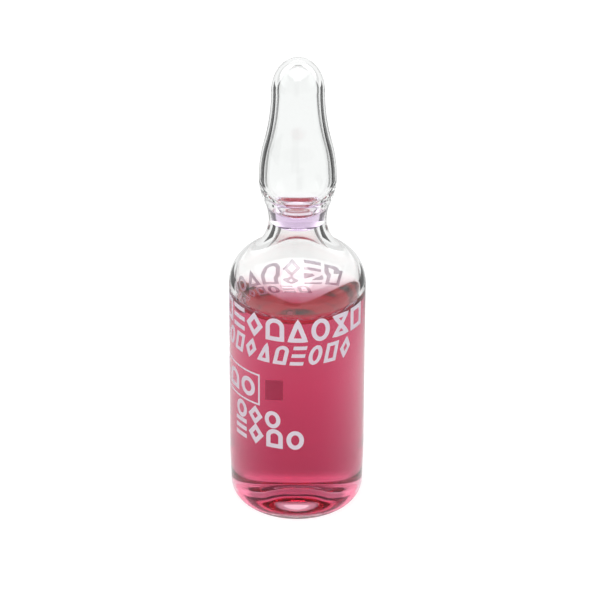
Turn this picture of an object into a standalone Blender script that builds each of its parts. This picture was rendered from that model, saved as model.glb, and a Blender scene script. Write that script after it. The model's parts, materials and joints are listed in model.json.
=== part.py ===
"""Sealed glass ampoule, partly filled, with a drop of the liquid held in its neck.

Everything is turned about the Z axis and stands on Z = 0. The outer side of the glass is one
outline of tangent arcs. The inner side is that outline moved inwards by the wall, and each
liquid is moved inwards once more by a small clearance, so all three follow the same sizes.

Units: metres. +Z is up.
"""
import math

import bpy
import numpy as np

MM = 0.001

# Body of the ampoule, drawn from one glass tube
BODY_RADIUS = 7.375 * MM
STRAIGHT_HEIGHT = 26.5 * MM
BASE_CORNER_RADIUS = 2.2 * MM
BASE_DRAW_IN = 0.1 * MM
BASE_DRAW_HEIGHT = 4.4 * MM
STANDING_RING_WIDTH = 0.4 * MM
PUNT_DEPTH = 1.2 * MM
PUNT_CROWN_RADIUS = 0.2 * MM

# Shoulder, neck, head and fused tip, each height counted from the one below it
SHOULDER_HEIGHT = 7.6 * MM
NECK_RADIUS = 3.095 * MM
HEAD_FOOT_HEIGHT = 4.94 * MM
HEAD_RADIUS = 4.13 * MM
HEAD_TAPER_HEIGHT = 9.95 * MM
TIP_RADIUS = 2.82 * MM
TIP_HEIGHT = 3.66 * MM

# How much of each double curve belongs to its lower arc
SHOULDER_ROUND_SHARE = 0.444
HEAD_FOOT_SHARE = 0.445
HEAD_TAPER_SHARE = 0.395
DRAW_IN_SHARE = 0.5
PUNT_SHARE = 0.5

# Wall, thicker where the glass was gathered; the floor thins over a share of the base corner
BODY_WALL = 0.6 * MM
BASE_WALL = 1.0 * MM
NECK_WALL = 0.75 * MM
HEAD_WALL = 0.6 * MM
TIP_WALL = 0.85 * MM
SEAL_HOLE_RADIUS = 0.15 * MM
FLOOR_THINNING_SHARE = 0.4

# Liquid fill and the drop in the neck, with the slopes at which their free surfaces meet the wall
LIQUID_CLEARANCE = 0.1 * MM
FILL_BELOW_SHOULDER = 0.45 * MM
FILL_RIM_SLOPE = math.radians(84)
DROP_BELOW_NECK = 0.35 * MM
DROP_ABOVE_NECK = 1.4 * MM
DROP_TOP_SLOPE = math.radians(38)
DROP_BOTTOM_SLOPE = math.radians(25)
CAPILLARY_LENGTH = 1.7 * MM

# Facets
TURN_STEPS = 48
PUNT_STEPS = 4
CORNER_STEPS = 6
DRAW_IN_STEPS = 2
WALL_STEPS = 2
SHOULDER_STEPS = 5
HEAD_FOOT_STEPS = 4
HEAD_TAPER_STEPS = 3
TIP_STEPS = 7
FILL_SURFACE_STEPS = 10
DROP_SURFACE_STEPS = 6
CLIMB_STEPS = 160
BEND_TRIALS = 40
MERGE_DISTANCE = 0.001 * MM

# Heights that follow from the sizes above
NECK_HEIGHT = STRAIGHT_HEIGHT + SHOULDER_HEIGHT
HEAD_HEIGHT = NECK_HEIGHT + HEAD_FOOT_HEIGHT
TIP_START_HEIGHT = HEAD_HEIGHT + HEAD_TAPER_HEIGHT
TOTAL_HEIGHT = TIP_START_HEIGHT + TIP_HEIGHT
BASE_RADIUS = BODY_RADIUS - BASE_DRAW_IN
RING_OUTER_RADIUS = BASE_RADIUS - BASE_CORNER_RADIUS
PUNT_RADIUS = RING_OUTER_RADIUS - STANDING_RING_WIDTH

GLASS_COLOUR = (0.93, 0.95, 0.95, 1.0)
FILL_COLOUR = (0.50, 0.05, 0.12, 1.0)
DROP_COLOUR = (0.69, 0.51, 0.73, 1.0)


def clear_scene():
    """Remove every object that the file starts with."""
    for item in list(bpy.data.objects):
        bpy.data.objects.remove(item, do_unlink=True)


def double_curve(start, end, lower_share, steps):
    """Points up two tangent arcs, upright at both ends, with as many steps in each arc.

    The lower arc has lower_share of the two radii together. The end point is left out.
    """
    start_radius, start_height = start
    end_radius, end_height = end
    step = end_radius - start_radius
    side = math.copysign(1, step)
    width = abs(step)
    height = end_height - start_height
    both_radii = (width ** 2 + height ** 2) / (2 * width)
    lower = lower_share * both_radii
    upper = both_radii - lower
    sweep = math.atan2(height, both_radii - width)
    points = []
    for i in range(steps):
        angle = sweep * i / steps
        points.append((start_radius + side * lower * (1 - math.cos(angle)),
                       start_height + lower * math.sin(angle)))
    for i in range(steps):
        angle = sweep * (1 - i / steps)
        points.append((end_radius - side * upper * (1 - math.cos(angle)),
                       end_height - upper * math.sin(angle)))
    return points


def punt_outline():
    """Points outwards under the base, from the raised centre down to the standing ring."""
    slope = double_curve((PUNT_DEPTH, PUNT_CROWN_RADIUS), (0, PUNT_RADIUS), PUNT_SHARE, PUNT_STEPS)
    return [(0, PUNT_DEPTH)] + [(radius, height) for height, radius in slope]


def base_corner_outline():
    """Points up the quarter round from the standing ring to the wall."""
    points = [(PUNT_RADIUS, 0)]
    for i in range(CORNER_STEPS):
        angle = math.pi / 2 * i / CORNER_STEPS
        points.append((RING_OUTER_RADIUS + BASE_CORNER_RADIUS * math.sin(angle),
                       BASE_CORNER_RADIUS * (1 - math.cos(angle))))
    return points


def straight_wall_outline():
    """Points up the plain tube, from above the drawn-in base to the shoulder."""
    low = BASE_CORNER_RADIUS + BASE_DRAW_HEIGHT
    return [(BODY_RADIUS, low + (STRAIGHT_HEIGHT - low) * i / WALL_STEPS) for i in range(WALL_STEPS)]


def tip_outline():
    """Points up the rounded tip, which ends on the axis."""
    points = []
    for i in range(TIP_STEPS):
        angle = math.pi / 2 * i / TIP_STEPS
        points.append((TIP_RADIUS * math.cos(angle), TIP_START_HEIGHT + TIP_HEIGHT * math.sin(angle)))
    return points + [(0, TOTAL_HEIGHT)]


def outer_outline():
    """The outer side of the glass, from the centre of the base up to the top of the tip."""
    base_top = (BASE_RADIUS, BASE_CORNER_RADIUS)
    wall_foot = (BODY_RADIUS, BASE_CORNER_RADIUS + BASE_DRAW_HEIGHT)
    wall_top = (BODY_RADIUS, STRAIGHT_HEIGHT)
    neck = (NECK_RADIUS, NECK_HEIGHT)
    head = (HEAD_RADIUS, HEAD_HEIGHT)
    tip = (TIP_RADIUS, TIP_START_HEIGHT)
    points = punt_outline() + base_corner_outline()
    points += double_curve(base_top, wall_foot, DRAW_IN_SHARE, DRAW_IN_STEPS)
    points += straight_wall_outline()
    points += double_curve(wall_top, neck, SHOULDER_ROUND_SHARE, SHOULDER_STEPS)
    points += double_curve(neck, head, HEAD_FOOT_SHARE, HEAD_FOOT_STEPS)
    points += double_curve(head, tip, HEAD_TAPER_SHARE, HEAD_TAPER_STEPS)
    return np.array(points + tip_outline())


def wall_at(outline):
    """The glass thickness at each point of the outline, blended smoothly between the named walls."""
    along = np.concatenate([[0], np.cumsum(np.linalg.norm(np.diff(outline, axis=0), axis=1))])
    heights = outline[:, 1]
    beyond_ring = outline[:, 0] >= RING_OUTER_RADIUS
    ring = along[np.argmax(beyond_ring)]

    def reach(height):
        """The distance along the outline at which it first passes this height above the ring."""
        return along[np.argmax((along > ring) & (heights >= height))]

    thinned = ring + FLOOR_THINNING_SHARE * (reach(BASE_CORNER_RADIUS) - ring)
    stations = [ring, thinned, reach(STRAIGHT_HEIGHT), reach(NECK_HEIGHT),
                reach(HEAD_HEIGHT), reach(TIP_START_HEIGHT), along[-1]]
    walls = np.array([BASE_WALL, BODY_WALL, BODY_WALL, NECK_WALL, HEAD_WALL, HEAD_WALL, TIP_WALL])
    place = np.interp(along, stations, range(len(stations)))
    below = np.minimum(place.astype(int), len(stations) - 2)
    share = place - below
    eased = share ** 2 * (3 - 2 * share)
    return walls[below] * (1 - eased) + walls[below + 1] * eased


def move_inwards(outline, distance):
    """The outline moved along its own normals, towards the hollow."""
    along = np.gradient(outline, axis=0)
    along[0] = (1, 0)
    along[-1] = (-1, 0)
    along /= np.linalg.norm(along, axis=1)[:, None]
    normals = np.stack([-along[:, 1], along[:, 0]], axis=1)
    return outline + normals * np.asarray(distance)[:, None]


def between_heights(outline, low, high):
    """The part of a rising outline from one height to the other, cut exactly at both."""
    rising = outline[np.argmax(outline[:, 0] >= RING_OUTER_RADIUS):]
    radii = np.interp((low, high), rising[:, 1], rising[:, 0])
    inside = rising[(rising[:, 1] > low + MERGE_DISTANCE) & (rising[:, 1] < high - MERGE_DISTANCE)]
    return np.vstack([[(radii[0], low)], inside, [(radii[1], high)]])


def climb_from_axis(axis_bend, rim_radius, weight):
    """Follow a free surface out from the axis, as its tension and its weight bend it.

    Gives its points as radius and climb, and the slope that it reaches at the rim.
    """
    step = rim_radius / CLIMB_STEPS
    radius = climb = slope = 0.0
    points = [(radius, climb)]
    while radius < rim_radius and slope < math.pi / 2:
        across = math.sin(slope) / radius if radius else axis_bend
        slope += (2 * axis_bend + weight * climb / CAPILLARY_LENGTH ** 2 - across) * step
        radius += math.cos(slope) * step
        climb += math.sin(slope) * step
        points.append((radius, climb))
    return np.array(points), slope if radius >= rim_radius else math.pi / 2


def free_surface(rim_radius, rim_height, rim_slope, weight, steps):
    """Points inwards over a still surface that meets the wall at a given slope.

    The weight is 1 where the liquid lies under its surface, and -1 where it hangs above it.
    """
    slack = 0.0
    tight = 2 / rim_radius
    for _ in range(BEND_TRIALS):
        bend = (slack + tight) / 2
        if climb_from_axis(bend, rim_radius, weight)[1] < rim_slope:
            slack = bend
        else:
            tight = bend
    radii, climbs = climb_from_axis(slack, rim_radius, weight)[0].T
    shares = np.linspace(1, 0, steps + 1)[1:]
    picked = np.interp(shares, np.linspace(0, 1, len(radii)), radii * rim_radius / radii[-1])
    drops = climbs[-1] - np.interp(picked, radii, climbs)
    return np.column_stack([picked, rim_height - weight * drops])


def turned_solid(name, outline, colour, roughness, transmission):
    """Turn an outline about Z. It starts and ends on the axis and keeps the solid on its left."""
    mesh = bpy.data.meshes.new(name)
    corners = [(radius, 0, height) for radius, height in outline]
    mesh.from_pydata(corners, [(i, i + 1) for i in range(len(corners) - 1)], [])
    solid = bpy.data.objects.new(name, mesh)
    bpy.context.collection.objects.link(solid)
    turn = solid.modifiers.new("turn", "SCREW")
    turn.axis = "Z"
    turn.angle = 2 * math.pi
    turn.steps = TURN_STEPS
    turn.render_steps = TURN_STEPS
    turn.use_merge_vertices = True
    turn.merge_threshold = MERGE_DISTANCE
    turn.use_smooth_shade = True
    mesh.materials.append(make_material(name, colour, roughness, transmission))
    return solid


def make_material(name, colour, roughness, transmission):
    """A clear material with the colour of the piece."""
    material = bpy.data.materials.new(name)
    material.use_nodes = True
    shader = material.node_tree.nodes["Principled BSDF"]
    shader.inputs["Base Color"].default_value = colour
    shader.inputs["Roughness"].default_value = roughness
    shader.inputs["Metallic"].default_value = 0
    shader.inputs["Transmission Weight"].default_value = transmission
    material.diffuse_color = colour
    return material


def make_glass(outer, inner):
    """The glass: one blown piece, closed but for a hairline hole along the fused tip."""
    hollow = inner[inner[:, 0] > SEAL_HOLE_RADIUS]
    hole_floor = np.interp(-SEAL_HOLE_RADIUS, -inner[-TIP_STEPS:, 0], inner[-TIP_STEPS:, 1])
    hole = [(SEAL_HOLE_RADIUS, hole_floor), (SEAL_HOLE_RADIUS, TOTAL_HEIGHT)]
    skin = outer[outer[:, 0] > SEAL_HOLE_RADIUS][::-1]
    outline = np.vstack([inner[:1], hollow, hole, skin, outer[:1]])
    return turned_solid("glass_ampoule", outline, GLASS_COLOUR, 0.02, 1)


def make_fill(room):
    """The liquid in the body, up to its climbing rim under the shoulder."""
    level = STRAIGHT_HEIGHT - FILL_BELOW_SHOULDER
    floor = room[:np.argmax(room[:, 0] >= RING_OUTER_RADIUS)]
    side = between_heights(room, room[len(floor), 1], level)
    surface = free_surface(side[-1, 0], level, FILL_RIM_SLOPE, 1, FILL_SURFACE_STEPS)
    outline = np.vstack([floor, side, surface])[::-1]
    return turned_solid("liquid_fill", outline, FILL_COLOUR, 0.02, 1)


def make_drop(room):
    """The drop held in the neck, hollowed above and below."""
    low = NECK_HEIGHT - DROP_BELOW_NECK
    high = NECK_HEIGHT + DROP_ABOVE_NECK
    side = between_heights(room, low, high)
    top = free_surface(side[-1, 0], high, DROP_TOP_SLOPE, 1, DROP_SURFACE_STEPS)
    bottom = free_surface(side[0, 0], low, DROP_BOTTOM_SLOPE, -1, DROP_SURFACE_STEPS)
    outline = np.vstack([bottom[::-1], side, top])[::-1]
    return turned_solid("neck_drop", outline, DROP_COLOUR, 0.02, 1)


def main():
    """Build the ampoule and what it holds."""
    clear_scene()
    outer = outer_outline()
    wall = wall_at(outer)
    inner = move_inwards(outer, wall)
    room = move_inwards(outer, wall + LIQUID_CLEARANCE)
    make_glass(outer, inner)
    make_fill(room)
    make_drop(room)


main()
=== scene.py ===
"""The looks of a sealed glass ampoule, part filled with a red liquid, with white print on its body.

The glass and both liquids are turned surfaces: one outline of tangent arcs, moved inwards by the
wall, is swept round the Z axis by a Geometry Nodes tree. The print is thin enamel, cut as flat
marks that a second tree thickens, repeats and wraps round the body.
"""
import json
import logging
import math
from dataclasses import dataclass
from enum import Enum

import bpy
import bmesh
import numpy as np
from mathutils import Matrix, Vector

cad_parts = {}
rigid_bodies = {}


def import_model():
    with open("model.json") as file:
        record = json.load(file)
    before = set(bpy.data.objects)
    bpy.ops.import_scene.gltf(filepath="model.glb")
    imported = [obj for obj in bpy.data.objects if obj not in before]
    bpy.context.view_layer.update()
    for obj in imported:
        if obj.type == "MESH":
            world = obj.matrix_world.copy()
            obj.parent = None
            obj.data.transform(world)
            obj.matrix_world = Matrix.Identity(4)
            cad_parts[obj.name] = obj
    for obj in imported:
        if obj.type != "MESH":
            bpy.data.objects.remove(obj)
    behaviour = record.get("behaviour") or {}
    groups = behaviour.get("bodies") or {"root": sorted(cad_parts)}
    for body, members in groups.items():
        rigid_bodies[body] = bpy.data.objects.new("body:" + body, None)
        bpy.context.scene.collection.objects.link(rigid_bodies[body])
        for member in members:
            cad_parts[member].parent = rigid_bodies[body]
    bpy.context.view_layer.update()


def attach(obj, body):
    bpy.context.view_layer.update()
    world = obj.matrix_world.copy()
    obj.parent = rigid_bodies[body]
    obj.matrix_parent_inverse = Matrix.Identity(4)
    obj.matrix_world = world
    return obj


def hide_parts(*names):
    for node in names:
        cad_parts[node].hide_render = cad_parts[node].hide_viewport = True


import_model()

MM = 0.001
ENAMEL = 0.015 * MM
LOG = logging.getLogger("ampoule")


class Graph:
    """A node tree with short calls for adding and joining its nodes."""

    def __init__(self, tree: bpy.types.NodeTree) -> None:
        """Empty the tree and keep it.

        Args:
            tree: a material's, a world's, a shader group's or a Geometry Nodes tree.
        """
        self.tree = tree
        self.tree.nodes.clear()

    def add(self, kind: str, inputs: dict | None = None, **settings) -> bpy.types.Node:
        """Add one node.

        Args:
            kind: the node's type name.
            inputs: a socket's name or number, with a value or a socket to link to it.
            settings: the node's own properties.

        Returns:
            The new node.
        """
        node = self.tree.nodes.new(kind)
        for name, value in settings.items():
            setattr(node, name, value)
        for key, value in (inputs or {}).items():
            if isinstance(value, bpy.types.NodeSocket):
                self.tree.links.new(value, node.inputs[key])
            else:
                node.inputs[key].default_value = value
        return node

    def math(self, operation: str, *values) -> bpy.types.NodeSocket:
        """Work out one sum.

        Args:
            operation: the name of the Math node's operation.
            values: its numbers or sockets, in order.

        Returns:
            The result's socket.
        """
        return self.add("ShaderNodeMath", dict(enumerate(values)), operation=operation).outputs[0]


@dataclass(frozen=True)
class Outline:
    """The turned outline of the glass, in metres, as radius and height.

    The body is thinner than the part by the enamel that lies on it.
    """

    body_radius: float = 7.375 * MM - ENAMEL
    straight_height: float = 26.5 * MM
    base_corner: float = 2.2 * MM
    draw_in: float = 0.1 * MM
    draw_height: float = 4.4 * MM
    ring_width: float = 0.4 * MM
    punt_depth: float = 1.2 * MM
    punt_crown: float = 0.2 * MM
    shoulder_height: float = 7.6 * MM
    neck_radius: float = 3.095 * MM
    head_foot_height: float = 4.94 * MM
    head_radius: float = 4.13 * MM
    taper_height: float = 9.95 * MM
    tip_radius: float = 2.82 * MM
    tip_height: float = 3.66 * MM
    shoulder_share: float = 0.444
    head_foot_share: float = 0.445
    taper_share: float = 0.395
    draw_in_share: float = 0.5
    punt_share: float = 0.5
    thinning_share: float = 0.4
    body_wall: float = 0.6 * MM
    base_wall: float = 0.75 * MM
    neck_wall: float = 1.1 * MM
    head_wall: float = 0.6 * MM
    tip_wall: float = 0.85 * MM
    punt_steps: int = 12
    corner_steps: int = 16
    draw_steps: int = 6
    tube_steps: int = 8
    shoulder_steps: int = 20
    head_foot_steps: int = 16
    taper_steps: int = 12
    tip_steps: int = 24

    @property
    def neck_height(self) -> float:
        """Where the neck is narrowest."""
        return self.straight_height + self.shoulder_height

    @property
    def head_height(self) -> float:
        """Where the head is widest."""
        return self.neck_height + self.head_foot_height

    @property
    def tip_start(self) -> float:
        """Where the rounded tip begins."""
        return self.head_height + self.taper_height

    @property
    def total_height(self) -> float:
        """The top of the tip."""
        return self.tip_start + self.tip_height

    @property
    def ring_outer(self) -> float:
        """The outer radius of the flat ring that the ampoule stands on."""
        return self.body_radius - self.draw_in - self.base_corner

    @staticmethod
    def double_curve(start: tuple, end: tuple, lower_share: float, steps: int) -> list:
        """Points up two tangent arcs, upright at both ends, without the end point.

        Args:
            start: radius and height of the lower end.
            end: radius and height of the upper end.
            lower_share: the lower arc's share of the two radii together.
            steps: steps in each arc.

        Returns:
            A list of radius and height pairs.
        """
        step = end[0] - start[0]
        side = math.copysign(1, step)
        height = end[1] - start[1]
        both = (step ** 2 + height ** 2) / (2 * abs(step))
        lower = lower_share * both
        upper = both - lower
        sweep = math.atan2(height, both - abs(step))
        points = []
        for i in range(steps):
            angle = sweep * i / steps
            points.append((start[0] + side * lower * (1 - math.cos(angle)),
                           start[1] + lower * math.sin(angle)))
        for i in range(steps):
            angle = sweep * (1 - i / steps)
            points.append((end[0] - side * upper * (1 - math.cos(angle)),
                           end[1] - upper * math.sin(angle)))
        return points

    def outer(self) -> np.ndarray:
        """The outer side, from the centre of the base up to the top of the tip."""
        punt_radius = self.ring_outer - self.ring_width
        slope = self.double_curve((self.punt_depth, self.punt_crown), (0, punt_radius), self.punt_share,
                                  self.punt_steps)
        points = [(0, self.punt_depth)] + [(radius, height) for height, radius in slope]
        points.append((punt_radius, 0))
        for i in range(self.corner_steps):
            angle = math.pi / 2 * i / self.corner_steps
            points.append((self.ring_outer + self.base_corner * math.sin(angle),
                           self.base_corner * (1 - math.cos(angle))))
        foot = (self.body_radius, self.base_corner + self.draw_height)
        shoulder = (self.body_radius, self.straight_height)
        neck = (self.neck_radius, self.neck_height)
        head = (self.head_radius, self.head_height)
        tip = (self.tip_radius, self.tip_start)
        points += self.double_curve((self.body_radius - self.draw_in, self.base_corner), foot,
                                    self.draw_in_share, self.draw_steps)
        points += [(self.body_radius, foot[1] + (shoulder[1] - foot[1]) * i / self.tube_steps)
                   for i in range(self.tube_steps)]
        points += self.double_curve(shoulder, neck, self.shoulder_share, self.shoulder_steps)
        points += self.double_curve(neck, head, self.head_foot_share, self.head_foot_steps)
        points += self.double_curve(head, tip, self.taper_share, self.taper_steps)
        for i in range(self.tip_steps):
            angle = math.pi / 2 * i / self.tip_steps
            points.append((self.tip_radius * math.cos(angle),
                           self.tip_start + self.tip_height * math.sin(angle)))
        return np.array(points + [(0, self.total_height)])

    def wall(self, outline: np.ndarray) -> np.ndarray:
        """The thickness of the glass at each point of the outer outline.

        Args:
            outline: the outer outline.

        Returns:
            One thickness for each point, blended smoothly between the named walls.
        """
        along = np.concatenate([[0], np.cumsum(np.linalg.norm(np.diff(outline, axis=0), axis=1))])
        ring = along[np.argmax(outline[:, 0] >= self.ring_outer)]

        def reach(height: float) -> float:
            """The distance along the outline to this height above the ring."""
            return along[np.argmax((along > ring) & (outline[:, 1] >= height))]

        thinned = ring + self.thinning_share * (reach(self.base_corner) - ring)
        stations = [ring, thinned, reach(self.straight_height), reach(self.neck_height),
                    reach(self.head_height), reach(self.tip_start), along[-1]]
        walls = np.array([self.base_wall, self.body_wall, self.body_wall, self.neck_wall,
                          self.head_wall, self.head_wall, self.tip_wall])
        place = np.interp(along, stations, range(len(stations)))
        low = np.minimum(place.astype(int), len(stations) - 2)
        share = place - low
        share = share * share * (3 - 2 * share)
        return walls[low] * (1 - share) + walls[low + 1] * share

    def with_row(self, line: np.ndarray, height: float) -> np.ndarray:
        """Add a point to a line where its rising side passes a height, so that a face ends there.

        Args:
            line: radius and height pairs.
            height: the height to add.

        Returns:
            The line with one more pair.
        """
        rising = np.argmax(line[:, 0] >= self.ring_outer)
        after = rising + np.argmax(line[rising:, 1] > height)
        before = after - 1
        share = (height - line[before, 1]) / (line[after, 1] - line[before, 1])
        return np.insert(line, after, line[before] * (1 - share) + line[after] * share, axis=0)

    def inwards(self, distance: float = 0.0) -> np.ndarray:
        """The inner side of the wall, or a line inside or outside it.

        Args:
            distance: how far inside the inner side, less than nothing to go into the glass.

        Returns:
            The outline, from the centre of the floor up to the top of the hollow.
        """
        outline = self.outer()
        along = np.gradient(outline, axis=0)
        along[0] = (1, 0)
        along[-1] = (-1, 0)
        along /= np.linalg.norm(along, axis=1)[:, None]
        normals = np.stack([-along[:, 1], along[:, 0]], axis=1)
        return outline + normals * (self.wall(outline) + distance)[:, None]


class LatheTree:
    """The Geometry Nodes tree that sweeps a profile mesh round Z."""

    merge_distance: float = 0.0005 * MM
    sharp_angle: float = 40.0

    def __init__(self) -> None:
        """Build the tree with its named inputs."""
        self.tree = bpy.data.node_groups.new("lathe", "GeometryNodeTree")
        face = self.tree.interface
        face.new_socket("Geometry", in_out="OUTPUT", socket_type="NodeSocketGeometry")
        face.new_socket("Profile", in_out="INPUT", socket_type="NodeSocketGeometry")
        self.turns = face.new_socket("Turns", in_out="INPUT", socket_type="NodeSocketInt")
        self.material = face.new_socket("Material", in_out="INPUT", socket_type="NodeSocketMaterial")
        graph = Graph(self.tree)
        given = graph.add("NodeGroupInput").outputs
        rows = graph.add("GeometryNodeAttributeDomainSize", {0: given["Profile"]},
                         component="MESH").outputs[0]
        columns = graph.math("ADD", given["Turns"], 1)
        grid = graph.add("GeometryNodeMeshGrid", {"Vertices X": rows, "Vertices Y": columns})
        number = graph.add("GeometryNodeInputIndex").outputs[0]
        row = graph.math("FLOOR", graph.math("DIVIDE", graph.math("ADD", number, 0.5), columns))
        column = graph.math("SUBTRACT", number, graph.math("MULTIPLY", row, columns))
        place = graph.add("GeometryNodeInputPosition").outputs[0]
        sample = graph.add("GeometryNodeSampleIndex", data_type="FLOAT_VECTOR", domain="POINT")
        graph.tree.links.new(given["Profile"], sample.inputs["Geometry"])
        graph.tree.links.new(place, sample.inputs["Value"])
        graph.tree.links.new(row, sample.inputs["Index"])
        radius, _, height = graph.add("ShaderNodeSeparateXYZ", {0: sample.outputs[0]}).outputs
        angle = graph.math("DIVIDE", graph.math("MULTIPLY", column, 2 * math.pi), given["Turns"])
        swept = graph.add("ShaderNodeCombineXYZ", {
            "X": graph.math("MULTIPLY", radius, graph.math("COSINE", angle)),
            "Y": graph.math("MULTIPLY", radius, graph.math("SINE", angle)),
            "Z": height}).outputs[0]
        moved = graph.add("GeometryNodeSetPosition", {"Geometry": grid.outputs["Mesh"], "Position": swept})
        closed = graph.add("GeometryNodeMergeByDistance", {"Geometry": moved.outputs[0],
                                                           "Distance": self.merge_distance})
        smooth = graph.add("GeometryNodeSetShadeSmooth", {"Geometry": closed.outputs[0]})
        bend = graph.add("GeometryNodeInputMeshEdgeAngle").outputs["Unsigned Angle"]
        sharp = graph.math("GREATER_THAN", bend, math.radians(self.sharp_angle))
        split = graph.add("GeometryNodeSetShadeSmooth", {"Geometry": smooth.outputs[0], "Selection": sharp,
                                                         "Shade Smooth": False}, domain="EDGE")
        real = graph.add("GeometryNodeRealizeInstances", {0: split.outputs[0]})
        dressed = graph.add("GeometryNodeSetMaterial", {"Geometry": real.outputs[0],
                                                        "Material": given["Material"]})
        graph.add("NodeGroupOutput", {0: dressed.outputs[0]})

    def sweep(self, outline: np.ndarray, turns: int, material: bpy.types.Material) -> bpy.types.Mesh:
        """Sweep one outline, which runs down its outer side.

        Args:
            outline: radius and height pairs.
            turns: faces round the axis.
            material: what the surface is made of.

        Returns:
            The closed mesh.
        """
        profile = bpy.data.meshes.new("profile")
        profile.from_pydata([(radius, 0, height) for radius, height in outline],
                            [(i, i + 1) for i in range(len(outline) - 1)], [])
        return run_tree(profile, self.tree, {self.turns.identifier: turns,
                                             self.material.identifier: material})


def run_tree(mesh: bpy.types.Mesh, tree: bpy.types.NodeTree, values: dict) -> bpy.types.Mesh:
    """Run a Geometry Nodes tree on a mesh and keep only the plain result.

    Args:
        mesh: what goes in.
        tree: the tree.
        values: a value for each input's identifier.

    Returns:
        The new mesh.
    """
    carrier = bpy.data.objects.new("carrier", mesh)
    bpy.context.scene.collection.objects.link(carrier)
    modifier = carrier.modifiers.new("tree", "NODES")
    modifier.node_group = tree
    for identifier, value in values.items():
        modifier[identifier] = value
    evaluated = carrier.evaluated_get(bpy.context.evaluated_depsgraph_get())
    result = bpy.data.meshes.new_from_object(evaluated)
    for i in reversed(range(len(result.materials))):
        if result.materials[i] is None:
            result.materials.pop(index=i)
    carrier.modifiers.remove(modifier)
    bpy.data.objects.remove(carrier)
    bpy.data.meshes.remove(mesh)
    return result


def place_piece(name: str, mesh: bpy.types.Mesh, nodes: tuple = ()) -> bpy.types.Object:
    """Turn a mesh into a piece of the object.

    Args:
        name: the piece's name.
        mesh: its mesh, in place.
        nodes: the CAD nodes that it stands for.

    Returns:
        The piece.
    """
    mesh.name = name
    piece = bpy.data.objects.new(name, mesh)
    bpy.context.scene.collection.objects.link(piece)
    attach(piece, "root")
    if nodes:
        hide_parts(*nodes)
    LOG.info("%s: %d faces", name, len(mesh.polygons))
    return piece


def join_meshes(name: str, meshes: list) -> bpy.types.Mesh:
    """Put several meshes into one, each face with its own mesh's material.

    Args:
        name: the new mesh's name.
        meshes: the meshes, which are used up.

    Returns:
        The joined mesh.
    """
    joined = bpy.data.meshes.new(name)
    build = bmesh.new()
    for mesh in meshes:
        first = len(build.faces)
        build.from_mesh(mesh)
        build.faces.ensure_lookup_table()
        names = [material.name for material in mesh.materials]
        slots = []
        for material_name in names:
            if material_name not in joined.materials:
                joined.materials.append(bpy.data.materials[material_name])
            slots.append(joined.materials.find(material_name))
        for face in build.faces[first:]:
            face.material_index = slots[face.material_index]
        bpy.data.meshes.remove(mesh)
    build.to_mesh(joined)
    build.free()
    return joined


def lets_lamps_through(graph: Graph, shader: bpy.types.NodeSocket, tint: tuple) -> bpy.types.NodeSocket:
    """Let lamp light pass straight through a clear surface, so that it throws no black shadow.

    Args:
        graph: the material's graph.
        shader: the surface's own shader.
        tint: the colour that one surface leaves of the light.

    Returns:
        The mixed shader.
    """
    path = graph.add("ShaderNodeLightPath")
    clear = graph.add("ShaderNodeBsdfTransparent", {"Color": tint})
    return graph.add("ShaderNodeMixShader", {0: path.outputs["Is Shadow Ray"], 1: shader,
                                             2: clear.outputs[0]}).outputs[0]


def clear_surface(graph: Graph, colour: tuple, ior: float, specular_tint: tuple,
                  normal: bpy.types.NodeSocket) -> bpy.types.NodeSocket:
    """The surface of something smooth and clear.

    Args:
        graph: the material's graph.
        colour: what one surface leaves of the light.
        ior: how strongly it refracts.
        specular_tint: black where the other side of the surface is as dense, so that it has no gloss.
        normal: the rippled normal.

    Returns:
        The shader's socket.
    """
    shader = graph.add("ShaderNodeBsdfPrincipled", {
        "Base Color": colour, "Roughness": 0.0, "IOR": ior, "Transmission Weight": 1.0,
        "Specular Tint": specular_tint, "Normal": normal})
    return lets_lamps_through(graph, shader.outputs[0], colour)


class RippleGroup:
    """A shared shader group: the slow waves that drawn glass and still liquid have in their surface."""

    bump_distance: float = 0.05 * MM

    def __init__(self) -> None:
        """Build the group."""
        self.tree = bpy.data.node_groups.new("surface_ripple", "ShaderNodeTree")
        face = self.tree.interface
        face.new_socket("Height", in_out="OUTPUT", socket_type="NodeSocketFloat")
        face.new_socket("Waves per metre", in_out="INPUT", socket_type="NodeSocketFloat")
        face.new_socket("Stretch", in_out="INPUT", socket_type="NodeSocketFloat")
        graph = Graph(self.tree)
        given = graph.add("NodeGroupInput").outputs
        place = graph.add("ShaderNodeTexCoord").outputs["Object"]
        squeeze = graph.add("ShaderNodeCombineXYZ", {0: 1.0, 1: 1.0, 2: given["Stretch"]}).outputs[0]
        drawn = graph.add("ShaderNodeVectorMath", {0: place, 1: squeeze}, operation="MULTIPLY").outputs[0]
        noise = graph.add("ShaderNodeTexNoise", {"Vector": drawn, "Scale": given["Waves per metre"],
                                                 "Detail": 1.0, "Roughness": 0.4})
        graph.add("NodeGroupOutput", {0: noise.outputs[0]})

    def normal(self, graph: Graph, waves: float, stretch: float, strength: float) -> bpy.types.NodeSocket:
        """Tilt a surface by the waves.

        Args:
            graph: the material's graph.
            waves: waves per metre across the axis.
            stretch: the share of them along the axis.
            strength: the bump's strength.

        Returns:
            The normal's socket.
        """
        height = graph.add("ShaderNodeGroup", {"Waves per metre": waves, "Stretch": stretch},
                           node_tree=self.tree).outputs[0]
        return graph.add("ShaderNodeBump", {"Height": height, "Strength": strength,
                                            "Distance": self.bump_distance}).outputs[0]


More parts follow.
